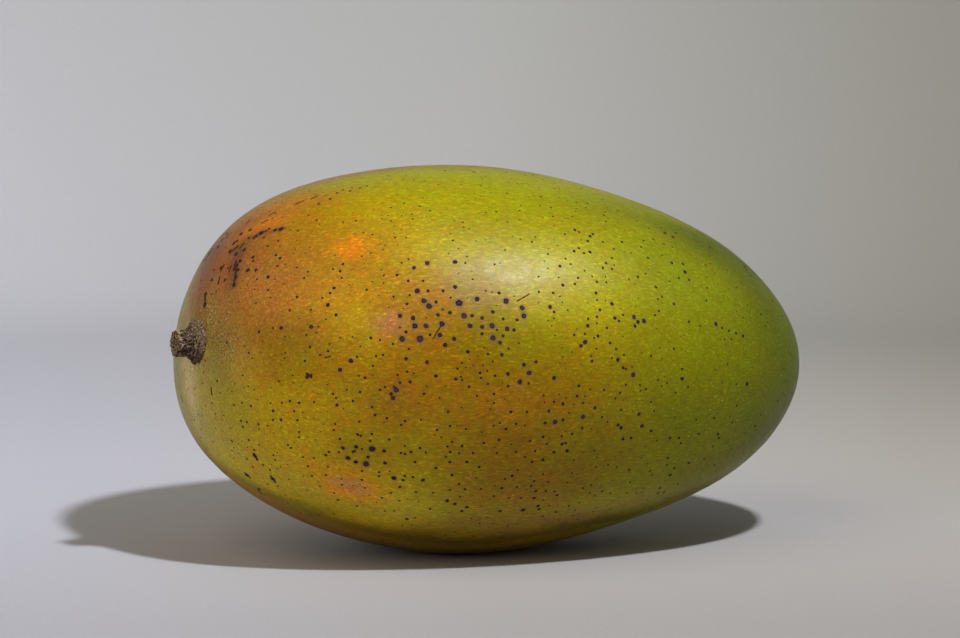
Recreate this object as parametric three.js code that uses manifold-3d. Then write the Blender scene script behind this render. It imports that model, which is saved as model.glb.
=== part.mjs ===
// A whole ripe mango lying on its cheek, with the short woody stub of its stalk.
// Millimetres, +Z up. X runs from the stalk end (-) to the tip (+), and Y across the fruit's width.
// The origin is under the middle of the whole object, on the surface that it rests on.

import * as THREE from "three";
import { mergeVertices } from "three/addons/utils/BufferGeometryUtils.js";
import Module from "manifold-3d";

const wasm = await Module();
wasm.setup();

// The fruit's size, before the taper widens its stalk end.
const FRUIT_LENGTH = 135;
const FRUIT_WIDTH = 86;
const FRUIT_THICKNESS = 81;

// Each of these is a polynomial in t, which runs from -1 at the stalk end to 1 at the tip.
const TAPER = [1, -0.138, -0.038, 0.105, 0.085, -0.152]; // girth, as a share of the size above
const RISE = [0, -0.6, 2.35, -7.4, -3.25, 7.2]; // height of the section's middle, mm
const BOW = [0, 0, -2.4]; // sideways place of the section's middle, mm

// Broad, low swellings of the skin: how high each is in mm, its wave vector and its phase.
const SWELLINGS = [
  { height: 0.34, wave: new THREE.Vector3(3.1, 4.2, -2.3), phase: 0.6 },
  { height: 0.26, wave: new THREE.Vector3(-4.6, 2.7, 4.4), phase: 2.1 },
  { height: 0.18, wave: new THREE.Vector3(6.2, -5.1, 3.4), phase: 4.0 },
];

// The stalk leaves the fruit a little above and beside its end, in a shallow basin.
const STALK_SEAT = new THREE.Vector3(-0.968, -0.212, 0.12).normalize();
const STALK_AXIS = new THREE.Vector3(-0.975, -0.21, 0.045).normalize();
const BASIN_DEPTH = 1.4;
const BASIN_SPREAD = 0.34; // as a share of the fruit's own radius

// A small point where the flower's style fell off, low on the hidden side of the tip.
const STYLE_SCAR = new THREE.Vector3(0.955, 0.26, -0.14).normalize();
const STYLE_HEIGHT = 0.9;
const STYLE_SPREAD = 0.05;

// The spot pressed flat by the fruit's own weight.
const FLAT_DEPTH = 0.4;

const STALK_LENGTH = 4.7; // from the skin to the cut end
const STALK_RADIUS = 2.4;
const COLLAR_RADIUS = 4.3; // the corky ring where the stalk meets the skin
const COLLAR_HEIGHT = 1.5;
const RIDGE_HEIGHT = 0.2;
const CUT_DISH = 0.5; // how far the cut end sinks in the middle
const PEG_RADIUS = 2; // the woody core that goes into the fruit
const PEG_DEPTH = 3;
const GAP = 0.3; // between the stalk and the fruit

const FRUIT_DETAIL = 20; // splits of each edge of the icosahedron
const STALK_SIDES = 48;
const STALK_STEPS = 16;

const polynomial = (terms, t) => terms.reduceRight((sum, term) => sum * t + term, 0);
const bell = (distance, spread) => Math.exp(-((distance / spread) ** 2));

// How far the skin stands out of the plain egg shape, in the direction n of the unit sphere.
function relief(n) {
  const swell = SWELLINGS.reduce(
    (sum, { height, wave, phase }) => sum + height * Math.sin(wave.dot(n) + phase),
    0,
  );
  const basin = BASIN_DEPTH * bell(n.distanceTo(STALK_SEAT), BASIN_SPREAD);
  const style = STYLE_HEIGHT * bell(n.distanceTo(STYLE_SCAR), STYLE_SPREAD);
  return swell - basin + style;
}

// The point of the skin in the direction n of the unit sphere.
function skinPoint(n) {
  const taper = polynomial(TAPER, n.x);
  return new THREE.Vector3(
    (FRUIT_LENGTH / 2) * n.x,
    (FRUIT_WIDTH / 2) * taper * n.y + polynomial(BOW, n.x),
    (FRUIT_THICKNESS / 2) * taper * n.z + polynomial(RISE, n.x),
  ).addScaledVector(n, relief(n));
}

// A closed geometry with its corners shared, which joining and cutting need.
function welded(geometry) {
  const bare = geometry.clone();
  bare.deleteAttribute("normal");
  bare.deleteAttribute("uv");
  return mergeVertices(bare, 1e-4);
}

function solidOf(geometry) {
  const { attributes, index } = welded(geometry);
  return new wasm.Manifold(
    new wasm.Mesh({
      numProp: 3,
      vertProperties: new Float32Array(attributes.position.array),
      triVerts: new Uint32Array(index.array),
    }),
  );
}

function geometryOf(solid) {
  const { vertProperties, triVerts } = solid.getMesh();
  const geometry = new THREE.BufferGeometry();
  geometry.setAttribute("position", new THREE.BufferAttribute(vertProperties, 3));
  geometry.setIndex(new THREE.BufferAttribute(triVerts, 1));
  geometry.computeVertexNormals();
  return geometry;
}

// The skin as a closed geometry, grown outwards by a margin.
function skinGeometry(margin) {
  const geometry = welded(new THREE.IcosahedronGeometry(1, FRUIT_DETAIL));
  const corners = geometry.attributes.position;
  const n = new THREE.Vector3();
  for (let i = 0; i < corners.count; i++) {
    const point = skinPoint(n.fromBufferAttribute(corners, i).normalize());
    corners.setXYZ(i, point.x, point.y, point.z);
  }
  geometry.computeVertexNormals();
  const normals = geometry.attributes.normal;
  for (let i = 0; i < corners.count; i++) {
    corners.setXYZ(
      i,
      corners.getX(i) + margin * normals.getX(i),
      corners.getY(i) + margin * normals.getY(i),
      corners.getZ(i) + margin * normals.getZ(i),
    );
  }
  return geometry;
}

// Sets a geometry whose own axis is +Y on the stalk's line, with its foot a distance out from the skin.
function ontoStalk(geometry, distance) {
  const turn = new THREE.Quaternion().setFromUnitVectors(new THREE.Vector3(0, 1, 0), STALK_AXIS);
  const foot = skinPoint(STALK_SEAT).addScaledVector(STALK_AXIS, distance);
  return geometry.applyQuaternion(turn).translate(foot.x, foot.y, foot.z);
}

// A round bar on the stalk's line, from one distance off the skin to another.
function bar(radius, from, to) {
  const geometry = new THREE.CylinderGeometry(radius, radius, to - from, STALK_SIDES);
  return ontoStalk(geometry.translate(0, (to - from) / 2, 0), from);
}

function makeFruit() {
  const skin = skinGeometry(0);
  skin.computeBoundingBox();
  const { min, max } = skin.boundingBox;
  const reach = FRUIT_LENGTH * 2;
  const ground = new THREE.BoxGeometry(reach, reach, reach);
  ground.translate(0, 0, min.z + FLAT_DEPTH - reach / 2);
  const socket = bar(PEG_RADIUS + GAP, -PEG_DEPTH - GAP, max.z);
  return solidOf(skin).subtract(solidOf(ground)).subtract(solidOf(socket));
}

// The stub's radius at a height over the skin and an angle round it: a flared collar,
// a shaft that swells a little at its cut end, and shrunken ridges along the bark.
function stubRadius(height, angle) {
  const collar = (COLLAR_RADIUS - STALK_RADIUS) * bell(Math.max(height, 0), COLLAR_HEIGHT);
  const knob = 0.12 * bell(height - STALK_LENGTH, 1.2);
  const lean = 0.22 * Math.cos(angle - 1.9) * bell(height, 2.4);
  const ridges =
    0.6 * Math.cos(7 * angle + 0.25 * height) +
    0.4 * Math.cos(4 * angle - 0.35 * height + 1.3) +
    0.35 * Math.cos(11 * angle + 0.5 * height + 0.4);
  return STALK_RADIUS + collar + knob + lean + RIDGE_HEIGHT * ridges;
}

function makeStalk() {
  const root = -BASIN_DEPTH - GAP; // starts inside the fruit, to be cut to the skin below
  const span = STALK_LENGTH - root;
  const geometry = new THREE.CylinderGeometry(1, 1, span, STALK_SIDES, STALK_STEPS);
  geometry.translate(0, span / 2 + root, 0);
  const corners = geometry.attributes.position;
  for (let i = 0; i < corners.count; i++) {
    const [x, y, z] = [corners.getX(i), corners.getY(i), corners.getZ(i)];
    const share = Math.hypot(x, z); // 1 on the side, 0 in the middle of an end
    const radius = share * stubRadius(y, Math.atan2(z, x));
    const dish = y > STALK_LENGTH - 0.01 ? CUT_DISH * (1 - share) : 0;
    const scale = share > 0 ? radius / share : 0;
    corners.setXYZ(i, x * scale, y - dish, z * scale);
  }
  const stub = solidOf(ontoStalk(geometry, 0)).subtract(solidOf(skinGeometry(GAP)));
  const largest = stub.decompose().sort((a, b) => b.volume() - a.volume())[0];
  return largest.add(solidOf(bar(PEG_RADIUS, -PEG_DEPTH, STALK_LENGTH / 2)));
}

function named(name, solid, colour, roughness) {
  const material = new THREE.MeshStandardMaterial({ color: colour, roughness, metalness: 0 });
  const mesh = new THREE.Mesh(geometryOf(solid), material);
  mesh.name = name;
  return mesh;
}

const mango = new THREE.Group();
mango.name = "mango";
mango.add(named("fruit", makeFruit(), 0x9c9622, 0.45));
mango.add(named("stalk", makeStalk(), 0x4b392b, 0.9));

// Stands the whole on the origin's plane, with its middle over the origin.
const box = new THREE.Box3().setFromObject(mango);
const middle = box.getCenter(new THREE.Vector3());
mango.position.set(-middle.x, -middle.y, -box.min.z);

export default mango;
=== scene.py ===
import math
from collections import namedtuple
from itertools import product

import bpy
import numpy as np
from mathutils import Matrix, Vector, noise
from mathutils.bvhtree import BVHTree
from mathutils.kdtree import KDTree


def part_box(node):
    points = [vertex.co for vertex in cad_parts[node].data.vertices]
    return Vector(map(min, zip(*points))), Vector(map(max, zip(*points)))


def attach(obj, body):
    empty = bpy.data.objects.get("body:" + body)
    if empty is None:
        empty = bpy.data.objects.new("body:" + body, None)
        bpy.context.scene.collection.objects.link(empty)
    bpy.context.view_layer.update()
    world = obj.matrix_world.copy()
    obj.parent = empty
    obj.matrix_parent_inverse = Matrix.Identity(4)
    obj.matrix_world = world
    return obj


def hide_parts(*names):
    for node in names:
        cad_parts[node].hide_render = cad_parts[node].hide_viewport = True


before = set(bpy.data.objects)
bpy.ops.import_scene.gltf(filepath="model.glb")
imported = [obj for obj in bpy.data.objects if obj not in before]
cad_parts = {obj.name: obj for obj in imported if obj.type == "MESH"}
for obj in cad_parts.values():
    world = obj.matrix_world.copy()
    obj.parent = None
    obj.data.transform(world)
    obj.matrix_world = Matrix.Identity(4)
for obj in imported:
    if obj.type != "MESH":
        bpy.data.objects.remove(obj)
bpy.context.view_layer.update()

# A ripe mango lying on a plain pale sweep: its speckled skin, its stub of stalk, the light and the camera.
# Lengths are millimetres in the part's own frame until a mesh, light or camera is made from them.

MM = 0.001  # metres in a millimetre

# The fruit's form, as the solid has it: an egg with a taper, a rise and a bow along its length, low
# swellings, a basin round the stalk, a point where the flower's style was, and a flat spot to rest on
FRUIT_LENGTH, FRUIT_WIDTH, FRUIT_THICKNESS = 135, 86, 81
TAPER = [1, -0.138, -0.038, 0.105, 0.085, -0.152]
RISE = [0, -0.6, 2.35, -7.4, -3.25, 7.2]
BOW = [0, 0, -2.4]
SWELLINGS = [
    (0.34, (3.1, 4.2, -2.3), 0.6),
    (0.26, (-4.6, 2.7, 4.4), 2.1),
    (0.18, (6.2, -5.1, 3.4), 4.0),
]  # height in mm, wave vector, phase
BASIN_DEPTH, BASIN_SPREAD = 1.4, 0.34
STYLE_HEIGHT, STYLE_SPREAD = 0.9, 0.05
FLAT_DEPTH = 0.4


def unit(*v):
    return np.array(v, float) / np.linalg.norm(v)


STALK_SEAT = unit(-0.968, -0.212, 0.12)
STALK_AXIS = unit(-0.975, -0.21, 0.045)
STYLE_SCAR = unit(0.955, 0.26, -0.14)

# The stub's form
STALK_LENGTH, STALK_RADIUS = 4.7, 2.4
COLLAR_RADIUS, COLLAR_HEIGHT = 4.3, 1.5
RIDGE_HEIGHT = 0.2

# The camera, from the photograph's outline and shadow
PHOTO_WIDTH, PHOTO_HEIGHT = 960, 638
LENS, SENSOR = 115, 36
AZIMUTH, ELEVATION = math.radians(-14), math.radians(6)
CAMERA_DISTANCE = 647.75
AIM_RIGHT, AIM_UP = 1.767, -8.176  # how far the fruit's middle is moved in the view


def polynomial(terms, t):
    return sum(term * t**k for k, term in enumerate(terms))


def bell(distance, spread):
    return np.exp(-((distance / spread) ** 2))


def relief(n):
    """How far the skin stands out of the plain egg shape, in the directions n."""
    swell = sum(h * np.sin(n @ np.array(wave) + phase) for h, wave, phase in SWELLINGS)
    basin = BASIN_DEPTH * bell(np.linalg.norm(n - STALK_SEAT, axis=1), BASIN_SPREAD)
    style = STYLE_HEIGHT * bell(np.linalg.norm(n - STYLE_SCAR, axis=1), STYLE_SPREAD)
    return swell - basin + style


def skin_points(n):
    """The skin's points in the directions n of the unit sphere, before the fruit is set on its flat spot."""
    t = n[:, 0]
    taper = polynomial(TAPER, t)
    egg = np.stack(
        [
            FRUIT_LENGTH / 2 * t,
            FRUIT_WIDTH / 2 * taper * n[:, 1] + polynomial(BOW, t),
            FRUIT_THICKNESS / 2 * taper * n[:, 2] + polynomial(RISE, t),
        ],
        axis=1,
    )
    return egg + relief(n)[:, None] * n


def sphere(splits):
    """Even directions and triangles: an icosahedron's faces, each edge split that many times."""
    golden = (1 + math.sqrt(5)) / 2
    corners = np.array(
        [np.roll((0, a, b * golden), k) for k in range(3) for a in (-1, 1) for b in (-1, 1)],
        float,
    )
    near = np.isclose(np.linalg.norm(corners[:, None] - corners[None], axis=2), 2)
    steps = [(i, j) for i in range(splits + 1) for j in range(splits + 1 - i)]
    number = {step: k for k, step in enumerate(steps)}
    share = np.array([(i, j, splits - i - j) for i, j in steps], float) / splits
    cells = [
        (number[i, j], number[i + 1, j], number[i, j + 1]) for i, j in steps if i + j < splits
    ] + [
        (number[i + 1, j], number[i + 1, j + 1], number[i, j + 1])
        for i, j in steps
        if i + j < splits - 1
    ]
    points, faces = [], []
    for a in range(12):
        for b in range(a + 1, 12):
            for c in range(b + 1, 12):
                if near[a, b] and near[b, c] and near[a, c]:
                    outward = np.linalg.det(corners[[a, b, c]]) > 0
                    order = [a, b, c] if outward else [a, c, b]
                    faces.append(np.array(cells) + len(points) * len(steps))
                    points.append(share @ corners[order])
    points = np.concatenate(points)
    points /= np.linalg.norm(points, axis=1)[:, None]
    _, first, same = np.unique(np.round(points, 6), axis=0, return_index=True, return_inverse=True)
    return points[first], same.reshape(-1)[np.concatenate(faces)]


SKIN_SPLITS = 90
directions, skin_faces = sphere(SKIN_SPLITS)
raw = skin_points(directions)

# Where the fruit's frame lies in the part's: its middle over the solid's, and its foot on the floor
box_low, box_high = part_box("fruit")
middle_x, middle_y = ((box_low + box_high) / 2 / MM)[:2]
raw_middle = (raw.min(0) + raw.max(0)) / 2
SEAT = np.array(
    [middle_x - raw_middle[0], middle_y - raw_middle[1], -raw[:, 2].min() - FLAT_DEPTH]
)


# The view: three axes and the camera's place
VIEW_BACK = np.array(
    [
        math.sin(AZIMUTH) * math.cos(ELEVATION),
        -math.cos(AZIMUTH) * math.cos(ELEVATION),
        math.sin(ELEVATION),
    ]
)
VIEW_RIGHT = np.array([math.cos(AZIMUTH), math.sin(AZIMUTH), 0])
VIEW_UP = np.cross(VIEW_RIGHT, -VIEW_BACK)
CAMERA_PLACE = SEAT + VIEW_BACK * CAMERA_DISTANCE - VIEW_RIGHT * AIM_RIGHT - VIEW_UP * AIM_UP
PIXELS_PER_SLOPE = LENS / SENSOR * PHOTO_WIDTH


def make_camera():
    data = bpy.data.cameras.new("camera")
    data.lens, data.sensor_width = LENS, SENSOR
    data.clip_start, data.clip_end = 0.01, 20
    camera = bpy.data.objects.new("camera", data)
    camera.location = Vector(CAMERA_PLACE) * MM
    camera.rotation_mode = "QUATERNION"
    camera.rotation_quaternion = Vector(-VIEW_BACK).to_track_quat("-Z", "Y")
    bpy.context.scene.collection.objects.link(camera)
    bpy.context.scene.camera = camera


make_camera()

# The skin's finer relief, and the skin itself
SKIN_INSET = 0.04  # mm, keeps the fine skin inside the faceted solid's box
PUCKER_HEIGHT, PUCKER_SPREAD, PUCKER_COUNT = 0.16, 0.2, 13  # mm, share of the radius, how many round
PUCKER_START = 0.1  # how far from the stalk's middle they are at full height, as a share of the radius
RIPPLES = [(0.05, 0.11), (0.028, 0.26)]  # height in mm, waves per mm


def fine_relief(n, points):
    """Low ripples all over, and puckers round the stalk."""
    ripple = np.array(
        [sum(h * noise.noise(Vector(p) * f) for h, f in RIPPLES) for p in points.tolist()]
    )
    away = n - STALK_SEAT
    turn = np.arctan2(away[:, 1], away[:, 2])
    reach = np.linalg.norm(away, axis=1)
    pucker = np.sin(PUCKER_COUNT * turn + 3 * np.sin(2 * turn)) * bell(reach, PUCKER_SPREAD)
    return ripple + PUCKER_HEIGHT * pucker * np.minimum(reach / PUCKER_START, 1) - SKIN_INSET


skin = raw + fine_relief(directions, raw)[:, None] * directions + SEAT
skin[:, 2] = np.maximum(skin[:, 2], 0)
skin_tree = BVHTree.FromPolygons(skin.tolist(), skin_faces.tolist())


def seen_at(x, y):
    """The point of the skin that the photograph shows at a pixel, and the skin's outward normal there."""
    ray = (
        -VIEW_BACK
        + VIEW_RIGHT * (x - PHOTO_WIDTH / 2) / PIXELS_PER_SLOPE
        - VIEW_UP * (y - PHOTO_HEIGHT / 2) / PIXELS_PER_SLOPE
    )
    point, normal, _, _ = skin_tree.ray_cast(Vector(CAMERA_PLACE), Vector(ray).normalized())
    return np.array(point), np.array(normal)


def facing(*n):
    """The point of the skin in a direction from the fruit's middle, for the sides that aren't seen."""
    aim = unit(*n)
    index = int((directions @ aim).argmax())
    point, normal, _, _ = skin_tree.find_nearest(Vector(skin[index]))
    return np.array(point), np.array(normal)


def skin_axes(normal):
    """Two directions on the skin at a point: the view's right and up, as nearly as it allows."""
    across = np.cross(VIEW_UP, normal)
    across /= np.linalg.norm(across)
    return across, np.cross(normal, across)


# The skin's colours, as linear red, green and blue
DEEP_GREEN = (0.095, 0.130, 0.002)
MOSS = (0.180, 0.185, 0.001)
GREEN = (0.230, 0.280, 0.002)
LIME = (0.340, 0.360, 0.002)
OLIVE = (0.220, 0.195, 0.001)
GOLD = (0.400, 0.335, 0.002)
YELLOW = (0.530, 0.380, 0.003)
OCHRE = (0.275, 0.155, 0.001)
UMBER = (0.205, 0.120, 0.001)
BROWN = (0.215, 0.115, 0.001)
ORANGE = (0.350, 0.155, 0.004)
RUST = (0.275, 0.088, 0.016)
CORAL = (0.560, 0.180, 0.015)
ROSE = (0.430, 0.180, 0.055)
PLUM = (0.060, 0.020, 0.016)
KHAKI = (0.300, 0.265, 0.050)
DARK_KHAKI = (0.190, 0.155, 0.025)
SIENNA = (0.360, 0.120, 0.008)
MAROON = (0.160, 0.038, 0.008)
AMBER = (0.590, 0.330, 0.004)
FLAME = (0.660, 0.215, 0.005)
EMBER = (0.850, 0.290, 0.003)
SCAB = (0.640, 0.280, 0.055)
PALE_TAN = (0.700, 0.570, 0.240)
PALE_LIME = (0.470, 0.450, 0.006)
# The skin's own yellow, paler, to stand for light from the lower left
LEMON_WITH_PAINTED_LIGHT = (0.620, 0.480, 0.015)
# The dark brown of painted shade, for the underside and its lower edge; a little of it also darkens a spot
# low on the right
SHADED = (0.055, 0.038, 0.001)
DUSK_GREEN = (0.055, 0.082, 0.002)

# A patch of colour: its middle, its half sizes in mm along the view's right and up before it is turned,
# its colour, how strong it is, its turn in degrees, how sharp its edge is and how far that wanders in mm
Patch = namedtuple("Patch", "at size colour strength turn edge ragged", defaults=(1, 0, 1, 2))

PATCHES = [
    # The broad fields of colour, on the side that is seen
    Patch(seen_at(500, 196), (42, 13), LIME, 0.9, -2),
    Patch(seen_at(385, 200), (16, 9), GOLD, 0.85, 10),
    Patch(seen_at(360, 225), (8, 6), YELLOW, 0.4),
    Patch(seen_at(308, 238), (9, 7), AMBER, 0.3),
    Patch(seen_at(405, 252), (9, 9), YELLOW, 0.6),
    Patch(seen_at(462, 246), (10, 5), PALE_LIME, 0.6),
    Patch(seen_at(292, 247), (6, 5), GOLD, 0.45, 20),
    Patch(seen_at(590, 270), (22, 13), LIME, 0.75, -20),
    Patch(seen_at(610, 203), (13, 4.5), GREEN, 0.5, -16),
    Patch(seen_at(440, 174), (52, 5), LIME, 0.85, -3),
    Patch(seen_at(545, 180), (34, 7), LIME, 0.8, -10),
    Patch(facing(-0.05, 0.3, 1), (34, 15), LIME, 0.8),
    Patch(seen_at(572, 272), (15, 10), PALE_LIME, 0.6, -10),
    Patch(seen_at(590, 315), (10, 7), GOLD, 0.45),
    Patch(seen_at(602, 300), (6, 5), PALE_LIME, 0.3),
    Patch(seen_at(560, 362), (11, 6), OCHRE, 0.35, -5),
    Patch(seen_at(640, 318), (7, 6), OLIVE, 0.35),
    Patch(seen_at(685, 275), (15, 12), GREEN, 0.8, -30),
    Patch(seen_at(728, 252), (28, 5.5), DEEP_GREEN, 0.95, -36),
    Patch(seen_at(622, 205), (10, 4), GREEN, 0.7, -20),
    Patch(seen_at(640, 230), (8, 4), LIME, 0.45, -20),
    Patch(seen_at(734, 268), (18, 5), DUSK_GREEN, 0.45, -40),
    Patch(seen_at(775, 330), (6, 14), DEEP_GREEN, 0.6, 15),
    Patch(seen_at(682, 418), (12, 8), DEEP_GREEN, 0.5),
    Patch(seen_at(752, 408), (7, 9), DEEP_GREEN, 0.45),
    Patch(seen_at(300, 265), (19, 15), ORANGE, 0.85, 10),
    Patch(seen_at(285, 300), (14, 9), SIENNA, 0.65),
    Patch(seen_at(262, 215), (14, 8), ORANGE, 0.7, 35),
    Patch(seen_at(300, 330), (14, 6), SIENNA, 0.6, -5),
    Patch(seen_at(255, 300), (8, 7), CORAL, 0.3),
    Patch(seen_at(430, 300), (7, 5), CORAL, 0.22),
    Patch(seen_at(328, 315), (7, 9), AMBER, 0.5, 0, 1, 3),
    Patch(seen_at(365, 330), (5, 8.5), YELLOW, 0.6, 5, 1, 3),
    Patch(seen_at(285, 345), (17, 7), UMBER, 0.75, -6),
    Patch(seen_at(262, 370), (8, 9), BROWN, 0.35),
    Patch(seen_at(243, 380), (6, 8), ORANGE, 0.3),
    Patch(seen_at(300, 400), (8, 5), AMBER, 0.25),
    Patch(seen_at(306, 366), (4, 4), OLIVE, 0.6, 0, 1, 1.5),
    Patch(seen_at(345, 385), (14, 5), OCHRE, 0.6),
    Patch(seen_at(275, 440), (19, 9), YELLOW, 0.9, -32),
    # The skin's own yellow, painted paler low on the left as light from the lower left
    Patch(seen_at(315, 478), (20, 7), LEMON_WITH_PAINTED_LIGHT, 0.6, -24),
    Patch(seen_at(385, 482), (15, 7.5), YELLOW, 0.8, -8),
    Patch(seen_at(362, 450), (6, 4.5), OLIVE, 0.5, -10),
    Patch(seen_at(420, 505), (18, 6), LIME, 0.7, -4),
    Patch(seen_at(318, 468), (12, 5.5), AMBER, 0.75, -15),
    Patch(seen_at(225, 415), (8, 9), GOLD, 0.4),
    Patch(seen_at(330, 405), (14, 5), GOLD, 0.3, -12),
    Patch(seen_at(425, 445), (10, 6), GOLD, 0.4),
    Patch(seen_at(528, 425), (14, 10), BROWN, 0.75, -10),
    Patch(seen_at(515, 405), (8, 4), ORANGE, 0.5, -8),
    Patch(seen_at(440, 400), (14, 7), ORANGE, 0.3, -8),
    Patch(seen_at(485, 348), (7, 5), BROWN, 0.5, -8),
    Patch(seen_at(500, 325), (8, 5), OLIVE, 0.5),
    Patch(seen_at(540, 318), (7, 6), LIME, 0.5, 10, 1, 3),
    Patch(seen_at(535, 350), (7, 5), OLIVE, 0.6),
    Patch(seen_at(535, 299), (6, 4), YELLOW, 0.35),
    Patch(seen_at(395, 398), (4, 5), MAROON, 0.28),
    Patch(seen_at(585, 450), (11, 8), OLIVE, 0.6),
    Patch(seen_at(602, 450), (9, 7), SHADED, 0.2),
    Patch(seen_at(640, 482), (16, 5), GREEN, 0.5, 12),
    Patch(seen_at(500, 495), (12, 5), ORANGE, 0.6, 4),
    Patch(seen_at(600, 502), (16, 4.5), GOLD, 0.55, 10),
    # The skin's own yellow, painted paler low down as light from the lower left
    Patch(seen_at(392, 503), (9, 5), LEMON_WITH_PAINTED_LIGHT, 0.5, -8),
    # The lower left rim, its yellow made paler there as painted light from the lower left, and the pale
    # khaki round the stalk, its palest tan partly a painted sheen of reflected light
    Patch(seen_at(240, 470), (16, 5), LEMON_WITH_PAINTED_LIGHT, 0.85, -42),
    Patch(seen_at(205, 425), (4, 14), LEMON_WITH_PAINTED_LIGHT, 0.25, 12),
    Patch(seen_at(330, 512), (16, 4.5), YELLOW, 0.8, -18),
    Patch(seen_at(290, 502), (12, 2.2), OLIVE, 0.6, -32),
    # Pale tan on the left rim: partly the khaki skin's own colour, partly a painted sheen of reflected light
    Patch(seen_at(188, 378), (4, 11), PALE_TAN, 0.9, 6),
    Patch(seen_at(214, 392), (6, 9), PALE_TAN, 0.25),
    Patch(seen_at(202, 422), (3.5, 5), OLIVE, 0.4),
    Patch(seen_at(224, 398), (5.5, 8), GOLD, 0.7),
    Patch(seen_at(220, 345), (4.5, 8), DARK_KHAKI, 0.7),
    Patch(seen_at(196, 300), (5, 7), ORANGE, 0.6, -15),
    Patch(seen_at(207, 328), (1.6, 3.2), OLIVE, 0.7, 0, 1, 1),
    Patch(seen_at(214, 342), (2.2, 1.6), OLIVE, 0.5, 0, 1, 1),
    # The shoulder's blush and bruises
    Patch(seen_at(232, 262), (11, 13), RUST, 0.9, 30),
    Patch(seen_at(203, 285), (4, 9), RUST, 0.6, 10),
    Patch(seen_at(214, 250), (5, 8), MAROON, 0.75, 20),
    Patch(seen_at(255, 225), (5, 4), MAROON, 0.3, 30),
    Patch(seen_at(290, 203), (10, 3.2), CORAL, 0.35, 24),
    Patch(seen_at(276, 217), (3.6, 1.8), CORAL, 0.75, 20, 1.4, 1.2),
    Patch(seen_at(262, 226), (6, 2.2), FLAME, 0.5, 30, 1.2, 1.6),
    Patch(seen_at(352, 247), (4.2, 2.9), FLAME, 0.9, -8, 1.5, 1.6),
    Patch(seen_at(393, 322), (3.8, 2.6), ROSE, 0.75, -10, 1.3, 1.2),
    Patch(seen_at(236, 258), (2.0, 3.6), PLUM, 0.6, -10, 1.2, 1.6),
    Patch(seen_at(262, 234), (3.4, 1.2), PLUM, 0.5, 28, 1.2, 1.6),
    Patch(seen_at(232, 280), (1.6, 3), PLUM, 0.5, -20, 1.4, 1.2),
    # The scab low on the left, with its bright edge
    Patch(seen_at(335, 478), (5, 4), AMBER, 0.6, -24),
    Patch(seen_at(352, 489), (7.4, 4.6), EMBER, 0.62, -24, 1.6, 1.6),
    Patch(seen_at(350, 485), (4.6, 2.2), SCAB, 0.9, -30, 1.8, 1.2),
    # The far side and top, and painted shade on the underside and along its lower edge by the floor
    Patch(seen_at(470, 541), (42, 3), SHADED, 0.8),
    Patch(seen_at(605, 520), (14, 2.6), SHADED, 0.55, 16),
    Patch(facing(-0.55, 0.55, 0.65), (18, 16), RUST, 0.8),
    Patch(facing(0.1, 0.9, 0.4), (34, 16), LIME, 0.7),
    Patch(facing(-0.1, 0.95, -0.3), (26, 14), GOLD, 0.7),
    Patch(facing(-0.6, 0.7, -0.3), (12, 12), YELLOW, 0.6),
    Patch(facing(0.35, 0.7, -0.6), (18, 12), BROWN, 0.6),
    # Painted shade over the whole underside
    Patch(facing(-0.1, 0, -1), (40, 21), SHADED, 0.85),
]

# Where the skin is corky, with pale flecks and no colour of its own: the scab, the pink spot in the
# middle and the skin round the stalk
CORKY = [
    Patch(seen_at(350, 485), (4.6, 2.2), None, 0.5, -30, 1.5, 1.2),
    Patch(seen_at(393, 322), (3.4, 2.4), None, 0.3, -10),
    Patch(seen_at(210, 325), (6, 7), None, 0.8),
    Patch(seen_at(228, 350), (6, 7), None, 0.5),
    Patch(seen_at(212, 392), (5, 5), None, 0.4),
    Patch(seen_at(268, 290), (12, 10), None, 0.25),
]

# The colour along the fruit, x in mm from the stalk's end to the tip, and how far its bounds wander in mm
BODY = [(-64, KHAKI), (-50, ORANGE), (-20, OCHRE), (6, OCHRE), (26, OLIVE), (42, MOSS), (62, DEEP_GREEN)]
BODY_WANDER = 9


def share_of(patch, warp):
    """How strongly a patch covers each corner of the skin."""
    point, normal = patch.at
    across, upward = skin_axes(normal)
    angle = math.radians(patch.turn)
    first = across * math.cos(angle) + upward * math.sin(angle)
    second = upward * math.cos(angle) - across * math.sin(angle)
    away = skin + patch.ragged * warp - point
    size_a, size_b = patch.size
    reach = np.sqrt(
        ((away @ first) / size_a) ** 2
        + ((away @ second) / size_b) ** 2
        + ((away @ normal) / max(size_a, size_b)) ** 2
    )
    return (patch.strength * np.exp(-(reach ** (2 * patch.edge))))[:, None]


def paint():
    """The skin's colour at each corner of its mesh, painted shade and light included, and how corky it is
    there.
    """
    at = [x for x, _ in BODY]
    wander = np.array([noise.noise(Vector(p) * 0.03) for p in skin.tolist()])
    along = skin[:, 0] + BODY_WANDER * wander
    colour = np.stack([np.interp(along, at, [c[k] for _, c in BODY]) for k in range(3)], 1)
    warp = np.array(
        [
            (noise.noise_vector(Vector(p) * 0.13) + noise.noise_vector(Vector(p) * 0.45) / 2)[:]
            for p in skin.tolist()
        ]
    )
    for patch in PATCHES:
        share = share_of(patch, warp)
        colour = colour * (1 - share) + np.array(patch.colour) * share
    cork = np.max([share_of(patch, warp) for patch in CORKY], axis=0)
    return colour, cork


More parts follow.
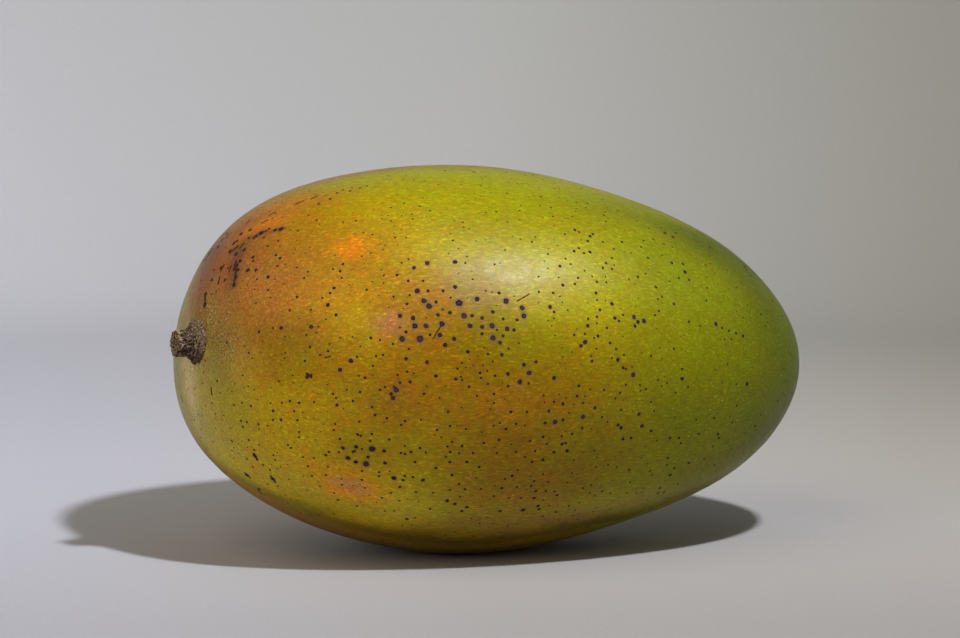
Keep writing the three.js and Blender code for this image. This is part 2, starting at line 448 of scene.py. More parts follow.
# The dots of the skin. The larger ones are placed by the pixel where the photograph shows them, by radius
# in mm; the others are scattered.
SEED = 7
draw = np.random.default_rng(SEED)
noise.seed_set(SEED)  # the ragged edges of the colour patches come from this
CENTRE_DOTS = {
    0.68: [(459, 303), (420, 339)],
    0.56: [
        (417, 291), (477, 299), (506, 301), (522, 308), (524, 316), (424, 301), (429, 306),
        (415, 326), (426, 326), (464, 316), (470, 326), (442, 324), (402, 339), (492, 326),
        (507, 329), (493, 338), (396, 390),
    ],
    0.48: [
        (427, 263), (400, 316), (413, 318), (440, 335), (454, 339), (351, 361), (340, 370),
        (427, 362), (393, 398),
    ],
    0.42: [
        (414, 268), (455, 262), (450, 313), (438, 315), (472, 316), (482, 318), (482, 327),
        (493, 312), (455, 287), (514, 330), (445, 345), (500, 343), (468, 352), (502, 355),
        (524, 365), (307, 377), (406, 359), (436, 376), (391, 394),
    ],
    0.33: [
        (397, 275), (408, 281), (423, 281), (428, 291), (443, 291), (499, 293), (436, 302),
        (407, 304), (406, 332), (430, 335), (497, 330), (503, 336), (482, 334), (488, 354),
        (536, 362), (371, 338), (328, 351), (305, 361), (394, 387), (424, 394), (337, 405),
        (410, 382), (503, 319), (517, 320),
    ],
    0.27: [
        (380, 340), (393, 344), (320, 355), (310, 347), (357, 357), (409, 349), (383, 355),
        (376, 356), (373, 366), (407, 372), (365, 378), (400, 383), (385, 387), (380, 390),
        (360, 392), (333, 394), (314, 402), (353, 401), (372, 407), (375, 415), (405, 421),
        (401, 425), (421, 420), (335, 424), (334, 430), (299, 432), (294, 411), (357, 434),
        (372, 434), (437, 430), (311, 375), (336, 398),
    ],
}
LOWER_DOTS = {
    0.58: [(372, 449), (366, 464), (247, 475), (273, 479)],
    0.48: [(348, 458), (394, 478), (538, 506), (523, 510), (259, 489), (255, 456)],
    0.42: [
        (343, 448), (356, 447), (384, 451), (356, 462), (368, 457), (385, 463), (423, 480),
        (447, 501), (407, 519), (536, 491), (534, 498), (455, 504), (467, 507), (500, 511),
    ],
    0.33: [
        (358, 435), (340, 439), (326, 455), (362, 471), (379, 472), (401, 453), (411, 452),
        (420, 448), (415, 462), (436, 468), (405, 476), (413, 477), (403, 480), (400, 487),
        (382, 498), (338, 500), (430, 509), (452, 475), (459, 484), (502, 488), (512, 476),
        (539, 509), (557, 495), (447, 500), (462, 511), (273, 411), (281, 420), (263, 465),
    ],
    0.27: [
        (361, 436), (370, 441), (355, 451), (353, 452), (362, 449), (329, 452), (339, 452),
        (379, 476), (314, 458), (328, 467), (405, 454), (391, 493), (416, 492), (433, 493),
        (342, 485), (365, 488), (362, 480), (334, 493), (357, 506), (320, 486), (385, 511),
        (394, 511), (450, 490), (465, 489), (481, 489), (505, 479), (518, 470), (534, 481),
        (531, 486), (517, 487), (548, 482), (546, 491), (494, 496), (460, 497), (543, 474),
        (591, 485), (583, 488), (590, 493), (569, 506), (575, 510), (556, 512), (543, 516),
        (543, 500), (521, 498), (474, 536), (455, 532), (234, 405), (242, 403), (251, 406),
        (282, 403), (290, 401), (299, 403), (273, 420), (247, 422), (241, 421), (243, 427),
        (299, 437), (288, 445), (291, 448), (249, 440), (232, 441), (257, 460), (254, 450),
        (247, 459), (270, 470), (253, 467), (275, 460), (303, 457), (308, 466), (312, 476),
        (326, 475),
    ],
}
RIGHT_DOTS = {
    0.5: [(520, 382), (529, 373), (583, 417), (555, 422), (585, 342), (633, 375)],
    0.46: [(634, 317), (644, 321), (685, 272), (673, 237), (716, 324), (747, 384)],
    0.42: [
        (508, 374), (545, 423), (562, 444), (567, 451), (543, 460), (563, 404), (554, 378),
        (581, 346), (618, 360), (639, 414), (642, 426), (618, 425), (621, 428), (682, 379),
        (612, 304), (588, 326), (615, 318), (638, 322), (635, 326), (550, 307), (590, 252),
        (665, 233), (623, 439), (670, 475),
    ],
    0.33: [
        (456, 379), (480, 373), (469, 387), (508, 386), (579, 386), (577, 396), (554, 402),
        (549, 411), (563, 420), (511, 412), (506, 429), (582, 428), (572, 434), (543, 437),
        (562, 436), (566, 443), (554, 452), (530, 441), (499, 440), (462, 446), (450, 452),
        (473, 453), (532, 462), (450, 462), (467, 462), (479, 467), (598, 336), (610, 343),
        (623, 368), (620, 393), (688, 387), (595, 408), (575, 230), (593, 234), (590, 236),
        (588, 241), (622, 242), (676, 233), (574, 251), (584, 253), (606, 263), (648, 258),
        (560, 266), (672, 263), (683, 264), (689, 280), (638, 277), (563, 285), (575, 284),
        (596, 293), (656, 287), (674, 304), (554, 312), (600, 310), (689, 322), (651, 431),
        (631, 438), (670, 438), (679, 438), (718, 434), (668, 458), (689, 463), (714, 465),
        (629, 470), (660, 488), (664, 492), (658, 493), (755, 426), (722, 328), (729, 331),
        (736, 333), (743, 336),
    ],
    0.27: [
        (461, 377), (462, 380), (481, 378), (495, 376), (488, 384), (494, 394), (477, 396),
        (494, 403), (583, 403), (527, 412), (516, 424), (500, 423), (466, 429), (547, 444),
        (535, 451), (516, 452), (484, 443), (459, 453), (497, 453), (525, 457), (574, 460),
        (448, 412), (450, 426), (452, 442), (608, 465), (585, 334), (594, 338), (574, 335),
        (591, 356), (592, 361), (612, 358), (624, 355), (626, 369), (651, 356), (674, 349),
        (640, 385), (626, 385), (646, 389), (604, 390), (602, 417), (621, 410), (682, 369),
        (667, 383), (658, 380), (654, 411), (651, 402), (579, 232), (565, 234), (603, 242),
        (653, 239), (664, 244), (579, 248), (614, 249), (641, 247), (612, 258), (603, 268),
        (612, 269), (679, 278), (578, 278), (597, 282), (597, 300), (553, 293), (662, 297),
        (658, 299), (659, 311), (597, 317), (588, 319), (623, 315), (619, 321), (607, 328),
        (681, 443), (699, 434), (719, 438), (667, 465), (704, 459), (650, 471), (652, 475),
        (674, 468), (678, 484), (714, 418),
    ],
}
SHOULDER_DOTS = {
    0.6: [(236, 254), (261, 233), (281, 229), (234, 285), (205, 305)],
    0.5: [(248, 270), (221, 268), (234, 243), (241, 234), (244, 250), (218, 247)],
    0.44: [
        (236, 277), (238, 270), (237, 265), (240, 261), (230, 251), (237, 241), (250, 230),
        (253, 257), (256, 270), (206, 260), (212, 280), (268, 277), (281, 328), (311, 327),
        (328, 305), (275, 230), (257, 236), (209, 253), (227, 234), (222, 240),
    ],
    0.33: [
        (214, 270), (228, 268), (253, 261), (249, 238), (254, 238), (269, 229), (206, 294),
        (225, 280), (259, 332), (297, 297), (280, 258), (336, 315), (330, 293), (334, 288),
        (340, 271), (343, 264), (350, 191), (319, 204), (337, 193), (474, 172), (343, 190),
        (330, 199),
    ],
    0.27: [(273, 328), (276, 255), (333, 269), (360, 188), (367, 186), (326, 195)],
}
# Dashes, from one pixel to another, by half their width in mm
DASHES = {
    0.34: [((236, 262), (234, 270)), ((205, 294), (205, 302)), ((254, 454), (257, 459))],
    0.3: [
        ((237, 266), (234, 284)), ((245, 473), (250, 478)), ((271, 476), (275, 482)),
        ((744, 266), (747, 270)), ((307, 374), (311, 377)), ((255, 236), (266, 231)),
        ((276, 230), (284, 228)), ((230, 253), (238, 246)), ((208, 256), (213, 249)),
    ],
    0.22: [
        ((221, 271), (224, 265)), ((229, 272), (231, 266)), ((203, 262), (207, 256)),
        ((226, 238), (231, 233)), ((240, 248), (244, 243)), ((258, 490), (262, 494)),
        ((262, 223), (268, 220)), ((270, 215), (275, 212)), ((296, 204), (303, 201)),
        ((311, 199), (318, 196)), ((211, 388), (212, 395)), ((181, 396), (183, 402)),
        ((218, 284), (220, 277)), ((246, 224), (250, 220)), ((748, 272), (752, 277)),
    ],
    0.12: [
        ((517, 301), (523, 298)), ((523, 298), (529, 294)), ((433, 339), (437, 332)),
        ((437, 332), (441, 326)), ((325, 358), (331, 356)),
    ],
}
# Dots of more than this radius have a pale purplish ring, which is at full strength a little above it
HALO_FROM, HALO_RISE = 0.4, 6  # mm, and strength per mm
PLACED_HALO, SCATTERED_HALO, DASH_HALO = 0.15, 0.12, 0.1  # the least strength of a mark's ring
DASH_TONE = 0.5  # between brown at 0 and black at 1
SCATTERED = 3400  # how many places are tried
SCATTERED_RADIUS = (0.13, 0.27)  # the smallest and largest, mm
SMALL_BIAS = 1.7  # above 1, so that most are small
DOT_SPACING = 0.7  # mm between the edges of two dots, at least
PALE_FROM, PALE_SHARE = 28, 0.5  # mm along the fruit beyond which this share of them is pale
PALE_SIZE = 0.8
PALE_TONE = 2
HIDDEN_FROM, HIDDEN_LARGEST = -8, 0.46  # mm towards the camera, below which dots get up to this radius
CELL = 2  # mm, the grid in which near dots are looked up
NOWHERE = (0, 0, -9000)  # mm, the place of a mark that a face lacks

# A round dot starts and ends at one place; a dash runs from one to the other
Dot = namedtuple("Dot", "place end radius halo tone")


def halo_of(radius, least):
    return min(max((radius - HALO_FROM) * HALO_RISE, least), 1)


def placed_marks():
    """The dots and dashes that are listed."""
    marks = []
    for group in (CENTRE_DOTS, LOWER_DOTS, RIGHT_DOTS, SHOULDER_DOTS):
        for radius, pixels in group.items():
            for x, y in pixels:
                size = radius * draw.uniform(0.9, 1.1)
                place = seen_at(x, y)[0]
                marks.append(Dot(place, place, size, halo_of(size, PLACED_HALO), draw.random()))
    for radius, dashes in DASHES.items():
        for start, stop in dashes:
            place, end = seen_at(*start)[0], seen_at(*stop)[0]
            marks.append(Dot(place, end, radius, DASH_HALO, DASH_TONE))
    return marks


def cell_of(place):
    return tuple((place // CELL).astype(int))


def around(cells, cell):
    """The dots in a cell of the grid and in the 26 cells next to it."""
    steps = (-1, 0, 1)
    found = []
    for step in product(steps, steps, steps):
        found += cells.get(tuple(np.add(cell, step)), ())
    return found


def scatter_dots():
    """Every dot and dash of the skin: those listed, then an even scatter."""
    dots = placed_marks()
    cells = {}
    for dot in dots:
        cells.setdefault(cell_of(dot.place), []).append(dot)
    low, high = SCATTERED_RADIUS
    for n in draw.normal(size=(SCATTERED, 3)):
        guess = skin_points(n[None] / np.linalg.norm(n))[0] + SEAT
        place = np.array(skin_tree.find_nearest(Vector(guess))[0])
        hidden = (place - SEAT) @ VIEW_BACK < HIDDEN_FROM
        largest = HIDDEN_LARGEST if hidden else high
        radius = low + (largest - low) * draw.random() ** SMALL_BIAS
        cell = cell_of(place)
        gap = DOT_SPACING + radius
        near = around(cells, cell)
        if all(np.linalg.norm(place - dot.place) > gap + dot.radius for dot in near):
            pale = place[0] > PALE_FROM and draw.random() < PALE_SHARE
            tone = PALE_TONE if pale else draw.random()
            size = radius * (PALE_SIZE if pale else 1)
            dots.append(Dot(place, place, size, halo_of(radius, SCATTERED_HALO), tone))
            cells.setdefault(cell, []).append(dots[-1])
    return dots


def mesh_object(name, points, faces):
    """A smooth-shaded mesh object from points in mm."""
    mesh = bpy.data.meshes.new(name)
    mesh.from_pydata((np.asarray(points) * MM).tolist(), [], list(map(tuple, faces)))
    mesh.polygons.foreach_set("use_smooth", [True] * len(mesh.polygons))
    mesh.update()
    thing = bpy.data.objects.new(name, mesh)
    bpy.context.scene.collection.objects.link(thing)
    return thing


def write_colours(mesh, name, colours):
    """Stores a colour for each corner of a mesh, for its material to read."""
    layer = mesh.attributes.new(name, "FLOAT_COLOR", "POINT")
    rgba = np.concatenate([colours, np.ones((len(colours), 1))], axis=1)
    layer.data.foreach_set("color", rgba.astype(np.float32).ravel())


HALO_REACH, CORE_REACH = 2.4, 1.5  # how many radii a dot goes out, with and without a pale ring
FAINT_HALO = 0.2  # up to this strength a ring doesn't show
FACE_REACH = 0.7  # mm from a face's middle to its farthest corner, about
DOT_SLOTS = ("near", "next", "third")


def write_dots(mesh, dots):
    """Gives each face the dots nearest to it: where each starts and runs, and its radius, halo and tone."""
    middles = skin[skin_faces].mean(1)
    tree = KDTree(len(middles))
    for k, p in enumerate(middles.tolist()):
        tree.insert(p, k)
    tree.balance()
    found = [{} for _ in middles]
    for k, dot in enumerate(dots):
        reach = dot.radius * (HALO_REACH if dot.halo > FAINT_HALO else CORE_REACH) + FACE_REACH
        run = dot.end - dot.place
        steps = 1 + int(np.linalg.norm(run) / FACE_REACH)
        for share in np.linspace(0, 1, steps + 1):
            for _, face, distance in tree.find_range(dot.place + share * run, reach):
                found[face][k] = min(distance - dot.radius, found[face].get(k, reach))
    places = np.array([dot.place for dot in dots] + [NOWHERE]) * MM
    runs = np.array([dot.end - dot.place for dot in dots] + [(0, 0, 0)]) * MM
    looks = np.array([(dot.radius * MM, dot.halo, dot.tone) for dot in dots] + [(MM, 0, 0)])
    nearest = [sorted(f, key=f.get) for f in found]
    for row, label in enumerate(DOT_SLOTS):
        chosen = [f[row] if len(f) > row else -1 for f in nearest]
        for name, values in (("start_", places), ("run_", runs), ("look_", looks)):
            layer = mesh.attributes.new(name + label, "FLOAT_VECTOR", "FACE")
            layer.data.foreach_set("vector", values[chosen].astype(np.float32).ravel())


class Tree:
    """Short calls for building a material's nodes."""

    def __init__(self, name):
        self.material = bpy.data.materials.new(name)
        self.material.use_nodes = True
        self.nodes = self.material.node_tree.nodes
        self.links = self.material.node_tree.links
        self.shader = self.nodes["Principled BSDF"]

    def add(self, kind, inputs=None, **settings):
        node = self.nodes.new(kind)
        for key, value in settings.items():
            setattr(node, key, value)
        for key, value in (inputs or {}).items():
            self.plug(node.inputs[key], value)
        return node

    def plug(self, socket, value):
        if isinstance(value, bpy.types.NodeSocket):
            self.links.new(value, socket)
        elif isinstance(value, tuple) and socket.type == "RGBA" and len(value) == 3:
            socket.default_value = (*value, 1)
        else:
            socket.default_value = value

    def math(self, operation, a, b=0.0):
        return self.add("ShaderNodeMath", {0: a, 1: b}, operation=operation).outputs[0]

    def vector(self, operation, a, b):
        node = self.add("ShaderNodeVectorMath", {0: a, 1: b}, operation=operation)
        single = operation in ("DISTANCE", "LENGTH", "DOT_PRODUCT")
        return node.outputs["Value" if single else "Vector"]

    def scaled(self, vector, by):
        return self.add(
            "ShaderNodeVectorMath", {0: vector, "Scale": by}, operation="SCALE"
        ).outputs["Vector"]

    def ramp(self, value, low, high, to_low=0.0, to_high=1.0):
        """value taken smoothly from low..high to to_low..to_high."""
        inputs = {0: value, 1: low, 2: high, 3: to_low, 4: to_high}
        return self.add("ShaderNodeMapRange", inputs, interpolation_type="SMOOTHSTEP").outputs[0]

    def mix(self, share, a, b, blend="MIX"):
        node = self.add("ShaderNodeMix", data_type="RGBA", blend_type=blend)
        self.plug(node.inputs[0], share)
        self.plug(node.inputs[6], a)
        self.plug(node.inputs[7], b)
        return node.outputs[2]

    def noise(self, vector, size, detail=2.0, roughness=0.5, distortion=0.0):
        """Noise whose features are about size mm across, from 0 to 1."""
        inputs = {
            "Vector": vector,
            "Scale": 1 / (size * MM),
            "Detail": detail,
            "Roughness": roughness,
            "Distortion": distortion,
        }
        return self.add("ShaderNodeTexNoise", inputs).outputs["Fac"]

    def attribute(self, name):
        return self.add("ShaderNodeAttribute", attribute_name=name)

    def place(self):
        return self.add("ShaderNodeTexCoord").outputs["Object"]

    def finish(self, **inputs):
        for key, value in inputs.items():
            self.plug(self.shader.inputs[key.replace("_", " ")], value)
        return self.material


# The marks' colours: a dot's fill from brown to black, the middle and the ring of a large one, a pale
# one, and the flecks and specks of the corky skin
DOT_BROWN = (0.050, 0.014, 0.005)
DOT_BLACK = (0.010, 0.005, 0.006)
DOT_MIDDLE = (0.075, 0.055, 0.065)
DOT_HALO = (0.17, 0.10, 0.06)
DOT_PALE = (0.36, 0.35, 0.06)
PALE_FLECK = (0.60, 0.42, 0.18)
CORK_SPECK = (0.11, 0.075, 0.030)


def skin_dots(t, place, colour):
    """Lays the dots and dashes over a colour. Gives the colour, and how dark the dots make it."""
    wobble = t.ramp(t.noise(place, 0.6, 1), 0.2, 0.8, 0.84, 1.16)
    dark = None
    for label in DOT_SLOTS:
        start = t.attribute("start_" + label).outputs["Vector"]
        run = t.attribute("run_" + label).outputs["Vector"]
        look = t.add("ShaderNodeSeparateXYZ", {0: t.attribute("look_" + label).outputs["Vector"]})
        size, halo, tone = look.outputs
        away = t.vector("SUBTRACT", place, start)
        length = t.math("MAXIMUM", t.vector("DOT_PRODUCT", run, run), 1e-12)
        share = t.math("DIVIDE", t.vector("DOT_PRODUCT", away, run), length)
        share = t.math("MINIMUM", t.math("MAXIMUM", share, 0.0), 1.0)
        reach = t.math("DIVIDE", t.vector("DISTANCE", away, t.scaled(run, share)), size)
        reach = t.math("MULTIPLY", reach, wobble)
        ring = t.math("MULTIPLY", t.ramp(reach, 0.9, 2.0, 0.75, 0), halo)
        core = t.ramp(reach, 0.78, 1.1, 0.97, 0)
        middle = t.math("MULTIPLY", t.ramp(reach, 0.0, 0.6, 0.75, 0), halo)
        colour = t.mix(ring, colour, DOT_HALO)
        fill = t.mix(tone, DOT_BROWN, DOT_BLACK)
        fill = t.mix(t.math("GREATER_THAN", tone, PALE_TONE - 0.5), fill, DOT_PALE)
        colour = t.mix(core, colour, fill)
        colour = t.mix(middle, colour, DOT_MIDDLE)
        dark = core if dark is None else t.math("MAXIMUM", dark, core)
    return colour, dark


def skin_material():
    t = Tree("mango_skin")
    place = t.place()
    colour = t.attribute("skin_colour").outputs["Color"]
    cork = t.attribute("cork").outputs["Fac"]
    along = t.add("ShaderNodeMapping", {"Vector": place, "Scale": (0.35, 1, 1)}).outputs[0]
    split = t.add("ShaderNodeSeparateColor", {0: colour}).outputs
    ripe = t.math("DIVIDE", split[0], split[1])
    mottle = t.ramp(ripe, 0.8, 1.9, 0.5, 1.1)
    grain = t.ramp(ripe, 0.8, 1.9, 0.95, 1.25)
    broad = t.noise(place, 6, 3)
    medium = t.noise(place, 1.9, 3, 0.6)
    streak = t.noise(along, 0.5, 3, 0.65)
    fleck = t.noise(along, 0.34, 2, 0.6)
    hue = t.noise(t.vector("ADD", place, (0.3, 0.1, 0.2)), 3, 6, 0.8)
    warm = t.math("MULTIPLY", t.ramp(hue, 0.5, 0.68, 0, 0.9), mottle)
    cool = t.math("MULTIPLY", t.ramp(hue, 0.32, 0.5, 0.9, 0), mottle)
    light = t.math("MULTIPLY", t.ramp(streak, 0.52, 0.70), grain)
    shade = t.math("MULTIPLY", t.ramp(streak, 0.30, 0.48, 0.8, 0), grain)
    spark = t.math("MULTIPLY", t.ramp(fleck, 0.54, 0.68, 0, 0.9), grain)
    colour = t.mix(warm, colour, (1.18, 0.86, 1.0), "MULTIPLY")
    colour = t.mix(cool, colour, (0.88, 1.14, 0.9), "MULTIPLY")
    colour = t.mix(t.ramp(broad, 0.35, 0.65, 0, 0.5), colour, (1.0, 0.92, 1.0), "MULTIPLY")
    colour = t.mix(t.ramp(medium, 0.36, 0.66, 0, 0.9), colour, (0.93, 0.89, 0.82), "MULTIPLY")
    colour = t.mix(light, colour, (1.30, 1.33, 1.25), "MULTIPLY")
    colour = t.mix(shade, colour, (0.74, 0.74, 0.74), "MULTIPLY")
    colour = t.mix(spark, colour, (1.42, 1.50, 1.4), "MULTIPLY")
    pale = t.math("MULTIPLY", t.ramp(t.noise(place, 0.42, 2, 0.6), 0.5, 0.62, 0, 0.85), cork)
    speck = t.math("MULTIPLY", t.ramp(t.noise(place, 0.36, 1), 0.58, 0.68, 0, 0.8), cork)
    colour = t.mix(pale, colour, PALE_FLECK)
    colour = t.mix(speck, colour, CORK_SPECK)
    colour, dark = skin_dots(t, place, colour)
    pores = t.noise(along, 0.32, 2)
    folds = t.noise(along, 1.6, 2)
    roughness = t.ramp(t.noise(place, 2.5, 2), 0.3, 0.7, 0.34, 0.42)
    roughness = t.math("ADD", roughness, t.math("MULTIPLY", t.math("MAXIMUM", dark, cork), 0.5))
    height = t.math("MULTIPLY", pores, 0.02)
    height = t.math("ADD", height, t.math("MULTIPLY", folds, 0.04))
    height = t.math("ADD", height, t.math("MULTIPLY", pale, 0.06))
    height = t.math("SUBTRACT", height, t.math("MULTIPLY", dark, 0.03))
    bump = t.add("ShaderNodeBump", {"Strength": 1.0, "Distance": MM, "Height": height})
    return t.finish(
        Base_Color=colour,
        Roughness=roughness,
        Specular_IOR_Level=0.14,
        Normal=bump.outputs[0],
    )


def make_fruit():
    thing = mesh_object("mango_skin", skin, skin_faces)
    colour, cork = paint()
    write_colours(thing.data, "skin_colour", colour)
    layer = thing.data.attributes.new("cork", "FLOAT", "POINT")
    layer.data.foreach_set("value", cork.astype(np.float32).ravel())
    write_dots(thing.data, scatter_dots())
    thing.data.materials.append(skin_material())
    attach(thing, "root")
    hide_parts("fruit")


# The stub of the stalk
STUB_SIDES, STUB_STEPS, STUB_RINGS = 160, 70, 14
STUB_ROOT = -2.2  # mm, where it starts inside the fruit
END_INSET = 0.12  # mm, keeps the broken end inside the solid's
END_DIP, END_GRAIN, END_NOTCH, MIDDLE_DIP = 0.45, 0.16, 0.2, 0.5  # mm


def stub_radius(height, angle):
    collar = (COLLAR_RADIUS - STALK_RADIUS) * bell(np.maximum(height, 0), COLLAR_HEIGHT)
    knob = 0.12 * bell(height - STALK_LENGTH, 1.2)
    lean = 0.22 * np.cos(angle - 1.9) * bell(height, 2.4)
    ridges = (
        0.6 * np.cos(7 * angle + 0.25 * height)
        + 0.4 * np.cos(4 * angle - 0.35 * height + 1.3)
        + 0.35 * np.cos(11 * angle + 0.5 * height + 0.4)
    )
    return STALK_RADIUS + collar + knob + lean + RIDGE_HEIGHT * ridges


def bark(angle, height):
    """Cracks along the bark, grains on the collar and its ragged edge, in mm."""
    p = Vector((math.cos(angle) * 2.6, math.sin(angle) * 2.6, height * 0.35))
    crack = -abs(noise.noise(p * 1.9)) * 0.6 - max(noise.noise(p * 3.3) - 0.15, 0) * 0.6
    grain = noise.noise(Vector((p.x, p.y, height)) * 2.6) * 0.2
    edge = noise.noise(Vector((p.x, p.y, 5)) * 0.9) * 0.9 * bell(max(height, 0), 0.9)
    return 0.1 + crack + grain + edge


def stub_frame():
    """The stub's foot on the skin and two directions across its line, as the solid has them."""
    foot = skin_points(STALK_SEAT[None])[0] + SEAT
    turn = Vector((0, 1, 0)).rotation_difference(Vector(STALK_AXIS))
    return foot, np.array(turn @ Vector((1, 0, 0))), np.array(turn @ Vector((0, 0, 1)))


def end_lift(angle, share):
    """How far the broken end lies above its edge's plane, share being 1 at its edge and 0 in its middle."""
    x, y = math.cos(angle), math.sin(angle)
    grain = noise.noise(Vector((x * 3 * share, y * 3 * share, 7)) * 1.6)
    notch = abs(noise.noise(Vector((x * 4, y * 4, 3))))
    return min(END_GRAIN * grain - END_DIP * (1 - share) - END_NOTCH * notch, 0)


def stub_mesh(foot, side, other):
    """The stub's points and faces: rings up its side and in over its broken end, and a closed foot."""
    angles = np.arange(STUB_SIDES) * 2 * math.pi / STUB_SIDES
    points, faces = [], []
    top = STALK_LENGTH - END_INSET
    rows = [(STUB_ROOT + (top - STUB_ROOT) * k / STUB_STEPS, 1.0) for k in range(STUB_STEPS + 1)]
    rows += [(top, 1 - k / STUB_RINGS) for k in range(1, STUB_RINGS)]
    for height, share in rows:
        for angle in angles:
            radius = stub_radius(height, angle) + bark(angle, height)
            lift = end_lift(angle, share) if height == top else 0
            outward = side * math.cos(angle) + other * math.sin(angle)
            points.append(foot + STALK_AXIS * (height + lift) + outward * radius * share)
    for k in range(len(rows) - 1):
        for i in range(STUB_SIDES):
            j = (i + 1) % STUB_SIDES
            a, b = k * STUB_SIDES + i, k * STUB_SIDES + j
            faces.append((a, a + STUB_SIDES, b + STUB_SIDES, b))
    last = (len(rows) - 1) * STUB_SIDES
    points += [foot + STALK_AXIS * (top - MIDDLE_DIP), foot + STALK_AXIS * STUB_ROOT]
    for i in range(STUB_SIDES):
        j = (i + 1) % STUB_SIDES
        faces.append((last + i, len(points) - 2, last + j))
        faces.append((i, j, len(points) - 1))
    return points, faces


def make_stalk():
    foot, side, other = stub_frame()
    thing = mesh_object("stalk_stub", *stub_mesh(foot, side, other))
    thing.data.materials.append(bark_material(foot))
    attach(thing, "root")
    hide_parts("stalk")


BARK_DARK = (0.014, 0.008, 0.006)
BARK_MIDDLE = (0.110, 0.066, 0.046)
BARK_PALE = (0.50, 0.35, 0.21)
COLLAR_CRUST = (0.15, 0.105, 0.055)
CUT_WOOD = (0.36, 0.24, 0.11)


def bark_material(foot):
    """Dark wrinkled bark, a paler speckled crust at its foot that fades out underneath as painted shade, and
    a broken end.
    """
    t = Tree("stalk_bark")
    away = t.vector("SUBTRACT", t.place(), tuple(foot * MM))
    height = t.vector("DOT_PRODUCT", away, tuple(STALK_AXIS))
    grain = t.noise(away, 0.55, 4, 0.65)
    specks = t.noise(away, 0.4, 2, 0.6)
    pits = t.noise(t.vector("ADD", away, (0.1, 0.2, 0.3)), 0.6, 2)
    uneven = t.math("ADD", height, t.ramp(pits, 0.3, 0.7, -0.5 * MM, 0.5 * MM))
    # The crust fades out on the stub's underside, its dark bark showing there as painted shade
    top_unshaded = t.ramp(t.vector("DOT_PRODUCT", away, (0, 0, 1)), -2.5 * MM, 0.5 * MM, 0.25, 1)
    crust = t.math("MULTIPLY", t.ramp(uneven, 0.7 * MM, 1.5 * MM, 0.9, 0), top_unshaded)
    end = t.ramp(uneven, (STALK_LENGTH - 0.95) * MM, (STALK_LENGTH - 0.6) * MM)
    colour = t.mix(t.ramp(grain, 0.42, 0.64), BARK_DARK, BARK_MIDDLE)
    colour = t.mix(crust, colour, t.mix(t.ramp(grain, 0.40, 0.50), BARK_DARK, COLLAR_CRUST))
    colour = t.mix(t.ramp(specks, 0.55, 0.64, 0, 0.65), colour, BARK_PALE)
    end = t.math("MULTIPLY", end, t.ramp(pits, 0.49, 0.58))
    colour = t.mix(end, colour, CUT_WOOD)
    return t.finish(Base_Color=colour, Roughness=0.85, Specular_IOR_Level=0.25)


# The stage: a round pale sweep, flat under the fruit and curving up all round
FLOOR_RADIUS, SWEEP_RADIUS = 430, 430
BACK_WALL = 1000  # how much higher the sweep goes on behind the fruit
STAGE_SIDES, FLOOR_RINGS, SWEEP_RINGS = 192, 30, 24
# Its colour in rows across it, painted light included: how far behind the fruit the row lies in mm, half its
# width, and its left, middle and right colours
SWEEP_ROWS = [
    (-85, 88, (0.47, 0.49, 0.54), (0.42, 0.42, 0.42), (0.39, 0.385, 0.38)),
    (30, 108, (0.57, 0.60, 0.68), (0.51, 0.52, 0.52), (0.51, 0.50, 0.475)),
    (120, 120, (0.61, 0.64, 0.74), (0.57, 0.59, 0.60), (0.50, 0.49, 0.44)),
    (495, 178, (0.63, 0.66, 0.73), (0.56, 0.58, 0.59), (0.36, 0.365, 0.33)),
    (725, 214, (0.48, 0.51, 0.54), (0.43, 0.455, 0.455), (0.285, 0.295, 0.27)),
]


def sweep_cloth_and_painted_light(points):
    """The sweep's colour at its points, pale cloth with painted light: bluer to the left, warmer and darker
    to the right.
    """
    backward = -VIEW_BACK * (1, 1, 0) / math.cos(ELEVATION)
    behind, across = points @ backward, points @ VIEW_RIGHT
    width = np.interp(behind, [row[0] for row in SWEEP_ROWS], [row[1] for row in SWEEP_ROWS])
    side = np.clip(across / width, -1, 1)
    rows = []
    for _, _, left, middle, right in SWEEP_ROWS:
        rows.append(np.stack([np.interp(side, (-1, 0, 1), c) for c in zip(left, middle, right)], 1))
    colour = rows[0]
    for (near, *_), (far, *_), row in zip(SWEEP_ROWS, SWEEP_ROWS[1:], rows[1:]):
        share = np.clip((behind - near) / (far - near), 0, 1)[:, None]
        colour = colour * (1 - share) + row * share
    return colour


def sweep_profile():
    """The sweep's radius and height at each of its rings, from the middle of the floor outwards."""
    floor = [(FLOOR_RADIUS * (k / FLOOR_RINGS) ** 1.5, 0) for k in range(1, FLOOR_RINGS + 1)]
    turns = [math.pi / 2 * k / SWEEP_RINGS for k in range(1, SWEEP_RINGS + 1)]
    return floor + [
        (FLOOR_RADIUS + SWEEP_RADIUS * math.sin(turn), SWEEP_RADIUS * (1 - math.cos(turn)))
        for turn in turns
    ]


def sweep_material():
    """Pale cloth with painted light on the inner side, and clear on the outer, so that a camera outside the
    sweep looks in.
    """
    t = Tree("sweep_cloth")
    weave = t.noise(t.place(), 0.6, 2)
    colour = t.attribute("sweep_colour").outputs["Color"]
    colour = t.mix(t.ramp(weave, 0.3, 0.7, 0, 0.06), colour, (0, 0, 0))
    outside = t.add("ShaderNodeNewGeometry").outputs["Backfacing"]
    clear = t.add("ShaderNodeBsdfTransparent").outputs[0]
    sides = t.add("ShaderNodeMixShader", {0: outside, 1: t.shader.outputs[0], 2: clear})
    t.plug(t.nodes["Material Output"].inputs["Surface"], sides.outputs[0])
    return t.finish(Base_Color=colour, Roughness=0.95, Specular_IOR_Level=0.1)


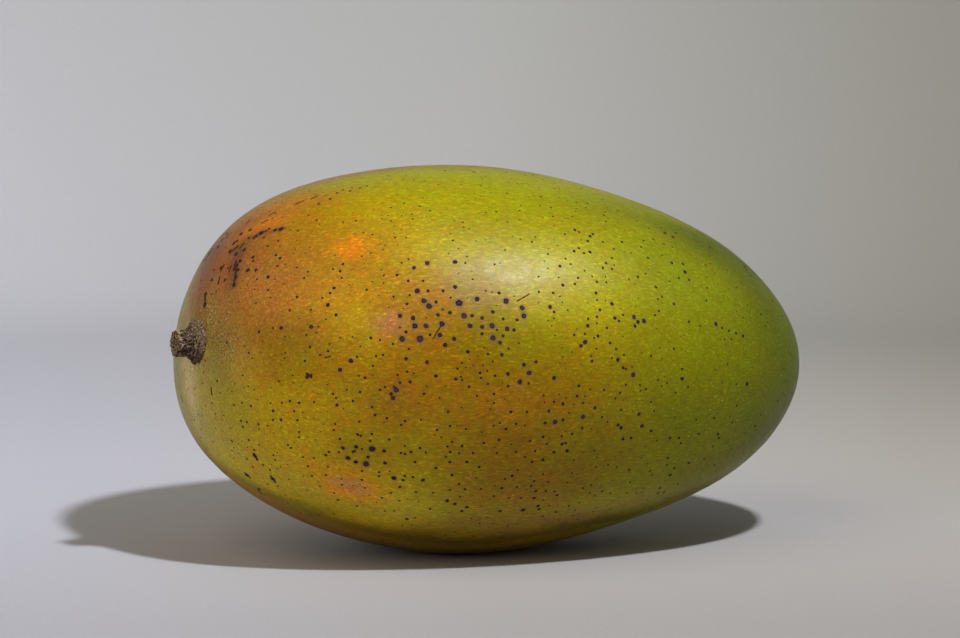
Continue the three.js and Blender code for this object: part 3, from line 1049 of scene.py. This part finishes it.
def sweep_mesh():
    """The sweep's points and faces, with its edge raised behind the fruit."""
    profile = sweep_profile()
    points = [(0, 0, 0)]
    faces = []
    for radius, height in profile:
        for i in range(STAGE_SIDES):
            turn = 2 * math.pi * i / STAGE_SIDES
            points.append((radius * math.cos(turn), radius * math.sin(turn), height))
    for x, y, height in points[-STAGE_SIDES:]:
        behind = np.clip(0.5 - (x * VIEW_BACK[0] + y * VIEW_BACK[1]) / FLOOR_RADIUS, 0, 1)
        points.append((x, y, height + BACK_WALL * behind))
    for i in range(STAGE_SIDES):
        j = (i + 1) % STAGE_SIDES
        faces.append((0, 1 + i, 1 + j))
        for k in range(len(profile)):
            a, b = 1 + k * STAGE_SIDES + i, 1 + k * STAGE_SIDES + j
            faces.append((a, a + STAGE_SIDES, b + STAGE_SIDES, b))
    return points, faces


def make_stage():
    points, faces = sweep_mesh()
    thing = mesh_object("sweep", points, faces)
    write_colours(thing.data, "sweep_colour", sweep_cloth_and_painted_light(np.array(points, float)))
    thing.data.materials.append(sweep_material())


# Lights: the small key whose place the shadow gives, a gloss light beside it, and soft fill. Places are
# in mm, the first two from the fruit's middle
KEY_PLACE = (51, -271, 316)
KEY_SIZE, KEY_POWER, KEY_COLOUR = 26, 8.6, (0.95, 0.935, 1)
GLOSS_PLACE = (146, -223, 388)
GLOSS_SIZE, GLOSS_POWER = 160, 18
WINDOW_PLACE = (-450, -310, 380)
WINDOW_SIZE, WINDOW_POWER, WINDOW_COLOUR = 800, 4.6, (1, 0.84, 0.62)
CEILING_PLACE = (0, 0, 940)
CEILING_SIZE, CEILING_POWER = 500, 0.25
SKY = (0.01, 0.01, 0.01)


def add_light(name, place, aim, size, power, colour=(1, 1, 1)):
    data = bpy.data.lights.new(name, "AREA")
    data.shape, data.size, data.energy, data.color = "DISK", size * MM, power, colour
    # The same strength at any distance, as from a big lamp far away
    data.use_nodes = True
    nodes, links = data.node_tree.nodes, data.node_tree.links
    falloff = nodes.new("ShaderNodeLightFalloff")
    falloff.inputs["Strength"].default_value = 1
    links.new(falloff.outputs["Constant"], nodes["Emission"].inputs["Strength"])
    light = bpy.data.objects.new(name, data)
    light.location = Vector(place) * MM
    light.rotation_mode = "QUATERNION"
    light.rotation_quaternion = (Vector(aim) - Vector(place)).to_track_quat("-Z", "Y")
    bpy.context.scene.collection.objects.link(light)
    return light


def make_lights():
    key = add_light("key", SEAT + KEY_PLACE, SEAT, KEY_SIZE, KEY_POWER, KEY_COLOUR)
    key.visible_glossy = False
    gloss = add_light("gloss", SEAT + GLOSS_PLACE, SEAT, GLOSS_SIZE, GLOSS_POWER)
    gloss.visible_diffuse = False
    window = add_light("window", WINDOW_PLACE, SEAT, WINDOW_SIZE, WINDOW_POWER, WINDOW_COLOUR)
    window.visible_glossy = False
    add_light("ceiling", CEILING_PLACE, SEAT, CEILING_SIZE, CEILING_POWER)
    world = bpy.data.worlds.new("studio")
    bpy.context.scene.world = world
    world.use_nodes = True
    world.node_tree.nodes["Background"].inputs["Color"].default_value = (*SKY, 1)


make_fruit()
make_stalk()
make_stage()
make_lights()
bpy.context.scene.view_settings.view_transform = "Standard"
